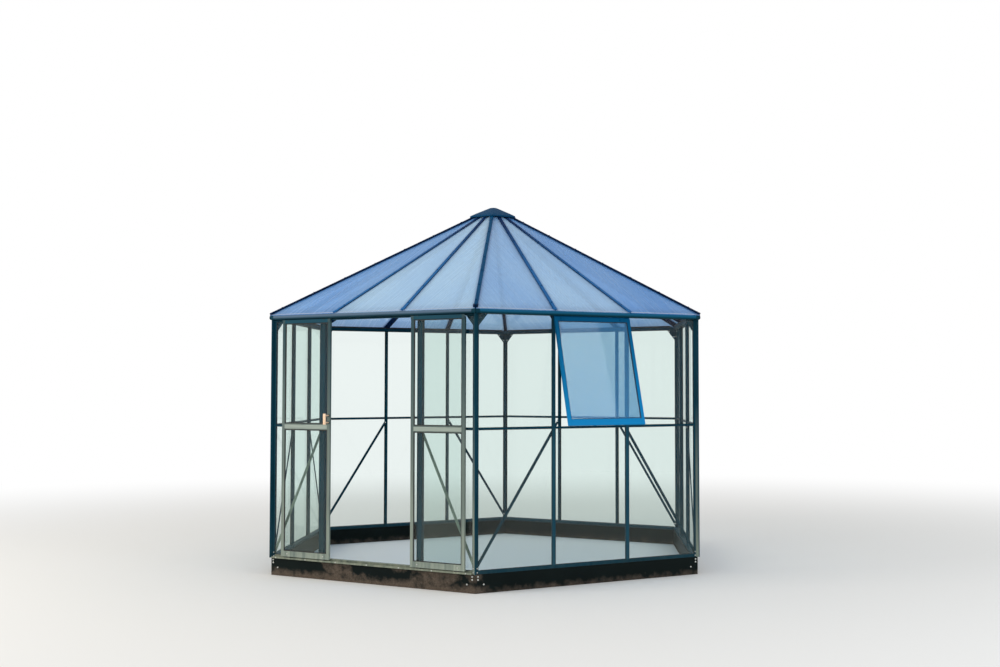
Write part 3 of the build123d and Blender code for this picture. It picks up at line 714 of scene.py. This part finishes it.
def roof_sheet(side, tones):
    """Polycarbonate, IOR 1.58: glossy skins with thin webs between them that scatter the light.
    The real webs are 6 mm apart, under a pixel, so they are drawn 24 mm apart. The three sheets of
    a side have weathered to tones between deep and pale, and are darker beside the bars, with
    painted shade where the bars shade them."""
    left_tone, middle_tone, right_tone = tones
    mottle_share = 0.3
    web_spacing = 0.024
    made, tree, place = new_material("twin_wall_polycarbonate_" + side_names[side])
    turned = add(tree, "Mapping", {"Vector": place, "Rotation": (0, 0, -side * math.pi / 3)})
    webs = add(tree, "TexWave", {"Vector": turned, "Scale": math.pi / 10 / web_spacing})
    soft = add(tree, "Mapping", {"Vector": turned, "Scale": (1 / 0.5, 1 / 1.1, 1 / 1.1)})
    mottle = noise(tree, soft, 1, 3.0, Roughness=0.45)
    mottled = ramp(tree, mottle, 0.3, 0.7)
    runs = add(tree, "Mapping", {"Vector": turned, "Scale": (1 / 0.025, 1 / 0.9, 1 / 0.9)})
    streaks = noise(tree, runs, 1, 4.0)
    plan = add(tree, "SeparateXYZ", {"Vector": turned})
    slant = add(tree, "Math", {0: plan.outputs["X"], 1: plan.outputs["Y"]}, operation="DIVIDE")
    first_bar = math.tan(math.pi / 6) / 3
    in_left = add(tree, "Math", {0: slant, 1: first_bar}, operation="GREATER_THAN")
    in_right = add(tree, "Math", {0: slant, 1: -first_bar}, operation="LESS_THAN")
    tone = add(tree, "Math", {0: in_left, 1: left_tone - middle_tone, 2: middle_tone - mottle_share / 2},
               operation="MULTIPLY_ADD")
    tone = add(tree, "Math", {0: in_right, 1: right_tone - middle_tone, 2: tone}, operation="MULTIPLY_ADD")
    tone = add(tree, "Math", {0: mottled, 1: mottle_share, 2: tone},
               operation="MULTIPLY_ADD", use_clamp=True)
    plastic = blend(tree, tone, "#58A0EA", "#BCE2FF")
    # Painted shade: the sheet is darkened in a strip beside each bar.
    off_bar = add(tree, "Math", {0: slant, 1: 3 * first_bar}, operation="ADD")
    off_bar = add(tree, "Math", {0: off_bar, 1: first_bar}, operation="PINGPONG")
    distance = product(tree, off_bar, plan.outputs["Y"])
    distance = add(tree, "Math", {0: distance}, operation="ABSOLUTE")
    bar_shade = ramp(tree, distance, 0.012, 0.04, low=0.55, high=0.0)
    lined = ramp(tree, webs.outputs["Fac"], high=0.12)
    webbed = blend(tree, lined, plastic, "#4A7CC0")
    grime = ramp(tree, streaks, 0.5, 0.8, high=0.2)
    grimy = blend(tree, grime, webbed, "#CBDCEE")
    colour = blend(tree, bar_shade, grimy, "#2C5C9C")
    rough = ramp(tree, streaks, low=0.12, high=0.4)
    bump = add(tree, "Bump", {"Height": webs.outputs["Fac"], "Strength": 0.12, "Distance": 0.0008})
    skin = add(tree, "BsdfPrincipled", {
        "Base Color": colour, "Roughness": rough, "IOR": 1.58, "Normal": bump})
    thinned = blend(tree, 0.15, colour, "#D8E8FF")
    glow = add(tree, "BsdfTranslucent", {"Color": thinned})
    clear = add(tree, "BsdfTransparent", {"Color": "#E3EEFA"})
    milky = add(tree, "MixShader", {0: 0.45, 1: skin, 2: glow})
    whole = add(tree, "MixShader", {0: 0.12, 1: milky, 2: clear})
    add(tree, "OutputMaterial", {"Surface": whole})
    return made


# Aluminium tape: a soft metal foil, dull, with small creases.
foil, tree, place = new_material("aluminium_sealing_tape")
creases = noise(tree, place, 0.012, 4.0)
colour = blend(tree, creases, "#8498B4", "#B4C2D6")
bump = add(tree, "Bump", {"Height": creases, "Strength": 0.3, "Distance": 0.0005})
skin = add(tree, "BsdfPrincipled", {
    "Base Color": colour, "Roughness": 0.4, "Metallic": 0.7, "Normal": bump})
add(tree, "OutputMaterial", {"Surface": skin})

tape_gap = 0.0055
hip_gap = 0.017
tape_start, tape_end = 0.0045, 0.014
tape_foot, tape_top = 0.0061, 0.0067
strips = []
for bay in range(3):
    left = -edge_half + bay * edge_half * 2 / 3 + (hip_gap if bay == 0 else tape_gap)
    right = -edge_half + (bay + 1) * edge_half * 2 / 3 - (hip_gap if bay == 2 else tape_gap)
    strips.append(box_between("tape", (left, tape_start, tape_foot), (right, tape_end, tape_top)))
tape = join("tape", strips)
on_face = Matrix.Translation((0, -roof_edge, roof_datum)) @ Matrix.Rotation(roof_pitch, 4, "X")
fit_out(repeat(tape, "sheet_edge_tape", [turn @ on_face for turn in all_sides]), foil)
bpy.data.objects.remove(tape)

# The sheets' lower skin: the same plastic without the milky layer, so it lets most light through.
lower_skin, tree, place = new_material("clear_lower_skin")
dew = noise(tree, place, 0.15, 4.0)
share = ramp(tree, dew, low=0.04, high=0.16)
clear = add(tree, "BsdfTransparent", {"Color": "#F4F9FD"})
gloss = add(tree, "BsdfGlossy", {"Color": "#FFFFFF", "Roughness": 0.12})
whole = add(tree, "MixShader", {0: share, 1: clear, 2: gloss})
add(tree, "OutputMaterial", {"Surface": whole})

sheet_tones = [(0.15, 0.85, 0.95), (0.5, 0.72, 0.1), (0.2, 0.5, 0.4),
               (0.3, 0.6, 0.5), (0.6, 0.3, 0.5), (0.5, 0.4, 0.2)]
for side, side_name in enumerate(side_names):
    sheets = side_name + "_roof_sheets"
    give_finish(sheets, roof_sheet(side, sheet_tones[side]))
    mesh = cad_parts[sheets].data
    mesh.materials.append(lower_skin)
    for face in mesh.polygons:
        face.material_index = 1 if face.normal.z < -0.5 else 0


# Crown: a cast hub that the bars are bolted to, and a pressed aluminium cap over it, with a turned
# lip, a small flat top and a low nut on the bolt that holds it down.

rounded_copy("crown_hub", "crown_hub_casting", 0.002, roof_coat)

cap_low, cap_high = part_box("roof_cap")
cap_radius = cap_high.x
cap_top = cap_high.z - 0.001
lip_foot = cap_low.z
cap_base = lip_foot + 0.013
flat_radius = 0.026
cap_slope = (cap_top - cap_base) / (cap_radius - flat_radius)
profile = [(cap_radius, lip_foot), (cap_radius, cap_base - 0.003), (cap_radius - 0.004, cap_base)]
for radius in (0.16, 0.1, flat_radius + 0.01):
    profile.append((radius, cap_base + (cap_radius - radius) * cap_slope))
profile += [(flat_radius, cap_top - 0.001), (flat_radius - 0.008, cap_top)]

select_nothing()
bpy.ops.mesh.primitive_circle_add(vertices=6, radius=cap_radius, fill_type="NGON",
                                  location=(0, 0, lip_foot), rotation=(0, 0, math.pi / 6))
cap = bpy.context.object
cap.name = "roof_cap_pressing"
bpy.ops.object.transform_apply()
bpy.ops.object.mode_set(mode="EDIT")
bpy.ops.mesh.select_all(action="SELECT")
for (radius, level), (next_radius, next_level) in zip(profile, profile[1:]):
    bpy.ops.mesh.extrude_region_move(TRANSFORM_OT_translate={"value": (0, 0, next_level - level)})
    share = next_radius / radius
    bpy.ops.transform.resize(value=(share, share, 1), center_override=(0, 0, next_level))
pick(cap, "FACE", lambda f: f.normal.z < -0.9 and f.calc_center_median().z < lip_foot + 0.001)
bpy.ops.mesh.delete(type="ONLY_FACE")


def is_cap_ridge(edge):
    """Whether an edge runs up the cap, from a corner of the lip towards the top."""
    start, end = (vertex.co for vertex in edge.verts)
    turn = math.atan2(*(start - end).yx)
    return abs(math.remainder(turn, math.pi / 3)) < 0.01 and abs(start.xy.length - end.xy.length) > 0.006


pick(cap, "EDGE", is_cap_ridge)
bpy.ops.mesh.bevel(offset=0.004, segments=2)
bpy.ops.object.mode_set(mode="OBJECT")
wall = cap.modifiers.new("wall", "SOLIDIFY")
wall.thickness = 0.0015
wall.offset = -1
bpy.ops.object.modifier_apply(modifier=wall.name)
bpy.ops.object.shade_smooth_by_angle(angle=math.radians(14))
cap_coat = powder_coat("cap_powder_coat", "#083252", "#104A70", roof_dust, dull)
fit_out(cap, cap_coat, node="roof_cap")

nut = bolt_pattern("cap_nut", across=0.016, rise=0.0005, washer=0.024)
nut.location = (0, 0, cap_top - 0.001)
bpy.ops.object.transform_apply()
fit_out(nut, cap_coat)


# Door tracks: the rollers run on a ledge under the eaves, and the leaves' feet in a channel on the
# base rail, screwed down at its lip. Rubber blocks stop the rollers at the ends.

rounded_copy("door_head_track", "door_head_track_profile", 0.0007, frame_coat)
# The sill track takes the paler sill coat: partly dust, partly painted sunlight.
rounded_copy("door_sill_track", "door_sill_track_profile", 0.0007, sill_coat)

sill_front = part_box("door_sill_track")[0].y
sill_level = wall_foot + 0.0065
sill_screw_pitch = 0.29
places = [on_side(0, step * sill_screw_pitch, sill_front, sill_level) for step in range(-3, 4)]
fit_out(repeat(pan_screw, "sill_track_screws", places), zinc)

rounded_copy("track_stops", "track_stop_blocks", 0.0015, rubber)


# Door leaves: box-section stiles and rails in the same coat as the rest, drawn paler with pale dust
# low down, which is painted sunlight over some dust. Screws hold the corners, and a plate on top
# carries the rollers.

# Moulded nylon: a hard, slightly waxy black plastic.
nylon = plain_finish("moulded_black_nylon", "#0E0F10", "#26282A", patch=0.01, detail=5.0,
                     rough=(0.35, 0.6), IOR=1.53)

# Satin aluminium, pale: the strip that hands push at, whose pale colour is a painted sunlit highlight. Fine
# brushing runs along it.
highlight_metal, tree, place = new_material("pale_highlight_aluminium")
brushing = add(tree, "Mapping", {"Vector": place, "Scale": (1 / 0.2, 1 / 0.004, 1 / 0.004)})
lines = noise(tree, brushing, 1, 5.0)
colour = blend(tree, lines, "#5E6E69", "#9CA79F")
skin = add(tree, "BsdfPrincipled", {"Base Color": colour, "Roughness": 0.42, "Metallic": 0.35})
add(tree, "OutputMaterial", {"Surface": skin})

leaf_stile = 0.026
bottom_rail = 0.042
mid_rail = 0.044
top_rail = 0.012
plate_height = 0.0273
plate_thickness = 0.004
leaf_mid_level = wall_foot + 0.995
leaf_seal = 0.003
corner_screw_inset = 0.06
groove_depth = 0.002


def grooved_bar(name, low, high, margin):
    """A box section that faces out of the door side, with a shallow groove along its face."""
    bar = box_between(name, low, high)
    pick(bar, "FACE", lambda f: f.normal.y < -0.9)
    bpy.ops.mesh.inset(thickness=margin)
    bpy.ops.transform.translate(value=(0, groove_depth, 0))
    bpy.ops.object.mode_set(mode="OBJECT")
    return bar


for leaf in ("left_door", "right_door"):
    low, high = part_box(leaf + "_frame")
    front = low.y + plate_thickness
    plate_foot = high.z - plate_height
    leaf_top = plate_foot + top_rail
    inner_left = low.x + leaf_stile
    inner_right = high.x - leaf_stile
    mid_low = leaf_mid_level - mid_rail / 2
    mid_high = leaf_mid_level + mid_rail / 2
    bars = [
        grooved_bar("stile", (low.x, front, low.z), (inner_left, high.y, leaf_top), 0.009),
        grooved_bar("stile", (inner_right, front, low.z), (high.x, high.y, leaf_top), 0.009),
        grooved_bar("rail", (inner_left, front, low.z), (inner_right, high.y, low.z + bottom_rail), 0.011),
        grooved_bar("rail", (inner_left, front, mid_low), (inner_right, high.y, mid_high), 0.012),
        box_between("rail", (inner_left, front, plate_foot), (inner_right, high.y, leaf_top)),
        box_between("plate_end", (low.x, low.y, plate_foot), (inner_left, front, high.z)),
        box_between("plate_end", (inner_right, low.y, plate_foot), (high.x, front, high.z)),
    ]
    leaf_frame = join(leaf + "_frame_profiles", bars)
    round_edges(leaf_frame, 0.0012)
    fit_out(leaf_frame, sunlit_dusty_coat, body=leaf, node=leaf + "_frame")

    plate = box_between(leaf + "_roller_plate", (inner_left, low.y + 0.0005, plate_foot),
                        (inner_right, front, high.z - 0.0005))
    round_edges(plate, 0.0008)
    # The roller plate takes the paler coat: painted light.
    fit_out(plate, lit_paler_coat, body=leaf)

    # The pale strip over the mid rail is a painted sunlit highlight.
    strip = box_between(leaf + "_push_strip", (inner_left + 0.001, front - 0.0012, mid_low + 0.006),
                        (inner_right - 0.001, front + 0.001, mid_high - 0.008))
    round_edges(strip, 0.0008)
    fit_out(strip, highlight_metal, body=leaf)

    give_finish(leaf + "_glass", wall_glass)
    pane_front, pane_back = (corner.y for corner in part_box(leaf + "_glass"))
    rings = []
    for foot, head in ((low.z + bottom_rail, mid_low), (mid_high, plate_foot)):
        rings.append(ring("seal", (inner_left, pane_front - leaf_seal, foot),
                          (inner_right, pane_front, head), 0.007))
        rings.append(ring("seal", (inner_left, pane_back, foot),
                          (inner_right, pane_back + leaf_seal, head), 0.0035))
    seals = join(leaf + "_glazing_seals", rings)
    fit_out(seals, rubber, body=leaf)

    roller_low, roller_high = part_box(leaf + "_rollers")
    radius = (roller_high.z - roller_low.z) / 2
    axle_level = (roller_high.z + roller_low.z) / 2
    places = [on_side(0, x, low.y, axle_level) for x in (roller_low.x + radius, roller_high.x - radius)]
    fit_out(repeat(pan_screw, leaf + "_roller_bolts", places), sunlit_dusty_coat, body=leaf)
    low_rail_level = low.z + bottom_rail / 2
    places = []
    for x in (low.x + corner_screw_inset, high.x - corner_screw_inset):
        places.append(on_side(0, x, front + groove_depth, low_rail_level))
        places.append(on_side(0, x, high.y, low_rail_level, True))
        places.append(on_side(0, x, high.y, leaf_mid_level, True))
    fit_out(repeat(pan_screw, leaf + "_corner_screws", places), zinc, body=leaf)

    rounded_copy(leaf + "_rollers", leaf + "_nylon_rollers", 0.001, nylon, body=leaf)
    rounded_copy(leaf + "_guides", leaf + "_guide_shoes", 0.0015, nylon, body=leaf)


# Handle: a moulded tan grip on two posts, on the left leaf's leading stile. Small round plates
# spread the load of the posts on the stile.

# Moulded plastic, pale where hands have polished it.
tan = plain_finish("tan_moulded_plastic", "#D9AC84", "#FBE3C6", patch=0.02, detail=3.0,
                   rough=0.35, IOR=1.46)
rounded_copy("left_door_handle", "left_door_grip", 0.002, tan, body="left_door", segments=3)

handle_low, handle_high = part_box("left_door_handle")
grip_length = handle_high.z - handle_low.z
grip_middle = (handle_low.x + handle_high.x) / 2
post_shares = (1 / 6, 5 / 6)
plates = []
for share in post_shares:
    level = handle_low.z + grip_length * share
    select_nothing()
    bpy.ops.mesh.primitive_cylinder_add(
        vertices=24, radius=0.0095, depth=0.003, rotation=(math.pi / 2, 0, 0),
        location=(grip_middle, handle_high.y - 0.001, level))
    bpy.ops.object.transform_apply()
    plates.append(bpy.context.object)
post_plates = join("left_door_handle_plates", plates)
round_edges(post_plates, 0.0006)
fit_out(post_plates, nylon, body="left_door")


# Window: a top-hung sash in the middle bay of the window side. Its frame tilts up, and its strong
# blue, paler towards the foot, is a painted sky reflection. It hangs on a round bar in two hinge
# lugs, and a peg stay holds it open.

# Painted sky reflection: a bluer coat that turns paler towards the foot of the sash.
sash_coat = powder_coat("sky_lit_powder_coat", "#003E62", "#00527C", ("#5E7896", 0.5, 0.1), dull,
                        painted_highlight=("#1682BE", 1.96, 1.15))
hinge_low, hinge_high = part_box("window_hinge_bar")
hinge = side_turn(-1) @ ((hinge_low + hinge_high) / 2)
window_angle = math.radians(15.4)
opened = (side_turn(1) @ Matrix.Translation(hinge) @ Matrix.Rotation(-window_angle, 4, "X")
          @ Matrix.Translation(-hinge))
window_half = 0.318
sash_stile = 0.026
sash_top_rail = 0.030
sash_bottom_rail = 0.045
sash_back = wall_face - 0.003
sash_front = sash_back - 0.018
sash_foot = hinge.z - 0.808
sash_head = hinge.z - 0.0053
inner = window_half - sash_stile
glass_foot = sash_foot + sash_bottom_rail
glass_head = sash_head - sash_top_rail


def hang(piece):
    """Moves a piece drawn on the shut window to where it hangs open."""
    only(piece)
    piece.matrix_world = opened
    bpy.ops.object.transform_apply()
    return piece


bars = [
    grooved_bar("stile", (-window_half, sash_front, sash_foot), (-inner, sash_back, sash_head), 0.008),
    grooved_bar("stile", (inner, sash_front, sash_foot), (window_half, sash_back, sash_head), 0.008),
    grooved_bar("rail", (-inner, sash_front, sash_foot), (inner, sash_back, glass_foot), 0.012),
    grooved_bar("rail", (-inner, sash_front, glass_head), (inner, sash_back, sash_head), 0.009),
]
sash = join("window_sash_frame", bars)
round_edges(sash, 0.0014, 3)
fit_out(hang(sash), sash_coat, node="window_frame")

pane_front = sash_front + 0.0075
pane_thickness = 0.003
pane_back = pane_front + pane_thickness
bead_rise, bead_width = 0.003, 0.004
beads = [ring("bead", (-inner, y, glass_foot), (inner, y + bead_rise, glass_head), bead_width)
         for y in (pane_front - bead_rise, pane_back)]
bead = join("window_glazing_seals", beads)
fit_out(hang(bead), rubber)

rounded_copy("window_hinge_bar", "window_hinge_rod", 0.0008, sash_coat)

lug_places = (-0.25, 0.25)
lug_half, lug_drop = 0.02, 0.024
lug_face = sash_front - 0.0015
lugs = [box_between("lug", (x - lug_half, lug_face, sash_head - lug_drop),
                    (x + lug_half, sash_front + 0.001, sash_head + 0.001)) for x in lug_places]
lug_pair = join("window_hinge_lugs", lugs)
round_edges(lug_pair, 0.0008)
fit_out(hang(lug_pair), sash_coat)
lug_screws = (-0.011, 0.011)
places = [on_side(0, x + offset, lug_face, sash_head - lug_drop / 2)
          for x in lug_places for offset in lug_screws]
screws = repeat(pan_screw, "window_lug_screws", places)
fit_out(hang(screws), sash_coat)

rounded_copy("window_stay", "window_stay_bar", 0.0006, frame_coat)

# The sash pane's strong blue film, heavier low down, is a painted sky reflection.
sash_glass = clear_glass("sky_reflection_float_glass", "#CEDCDE", mirror=0.5, dust_and_reflection=("#5CB4F4", 0.55, 2.5, 1.1))
give_finish("window_glass", sash_glass)

for pattern in (hex_bolt, pan_screw):
    bpy.data.objects.remove(pattern)


# Studio: a pale floor that fades to white, a white surround, one broad key lamp from the front
# left and a fill from the right.

def seen_directly(tree):
    """1 for rays from the camera, a mirror or clear glass, and 0 for light that falls on a piece."""
    rays = add(tree, "LightPath")
    seen = add(tree, "Math", {0: rays.outputs["Is Camera Ray"], 1: rays.outputs["Is Glossy Ray"]},
               operation="ADD")
    return add(tree, "Math", {0: seen, 1: rays.outputs["Is Transmission Ray"]},
               operation="ADD", use_clamp=True)


select_nothing()
bpy.ops.mesh.primitive_plane_add(size=240)
floor = bpy.context.object
floor.name = "studio_floor"
pale_floor, tree, place = new_material("pale_studio_floor")
reach = add(tree, "VectorMath", {0: place}, operation="LENGTH")
far = ramp(tree, reach.outputs["Value"], 3.0, 11.0, interpolation_type="SMOOTHSTEP")
white_share = product(tree, far, seen_directly(tree))
matt = add(tree, "BsdfDiffuse", {"Color": "#E4E4E2"})
glow = add(tree, "Emission", {"Color": "#FFFFFF", "Strength": 1.0})
whole = add(tree, "MixShader", {0: white_share, 1: matt, 2: glow})
add(tree, "OutputMaterial", {"Surface": whole})
floor.data.materials.append(pale_floor)

world = bpy.data.worlds.new("white_surround")
world.use_nodes = True
tree = world.node_tree
tree.nodes.clear()
strength = ramp(tree, seen_directly(tree), low=0.8)
surround = add(tree, "Background", {"Color": "#FFFFFF", "Strength": strength})
add(tree, "OutputWorld", {"Surface": surround})
bpy.context.scene.world = world


def area_lamp(name, place, power, colour):
    """A square soft lamp, 4 m wide, that looks at the middle of the house."""
    data = bpy.data.lights.new(name, "AREA")
    data.size = 4.0
    data.energy = power
    data.color = linear(colour)[:3]
    lamp = bpy.data.objects.new(name, data)
    lamp.location = place
    house_middle = Vector((0, 0, 1.2))
    lamp.rotation_euler = (house_middle - Vector(place)).to_track_quat("-Z", "Y").to_euler()
    bpy.context.scene.collection.objects.link(lamp)


area_lamp("key_lamp", (-6.0, -9.0, 4.5), power=520, colour="#FFF6E8")
area_lamp("fill_lamp", (10.0, -2.0, 5.0), power=200, colour="#EAF3FF")

# Camera: where the photograph was taken from, found by fitting measured points of the greenhouse.
camera_data = bpy.data.cameras.new("camera")
camera_data.lens = 46.98
camera_data.sensor_width = 36.0
camera_data.shift_x = -0.084
camera_data.shift_y = -0.0076
camera = bpy.data.objects.new("camera", camera_data)
camera.location = (6.067, -9.094, 1.431)
camera.rotation_euler = (math.radians(92.613), math.radians(0.06), math.radians(29.726))
bpy.context.scene.collection.objects.link(camera)
bpy.context.scene.camera = camera

bpy.context.scene.view_settings.view_transform = "Standard"
bpy.context.scene.cycles.transparent_max_bounces = 24
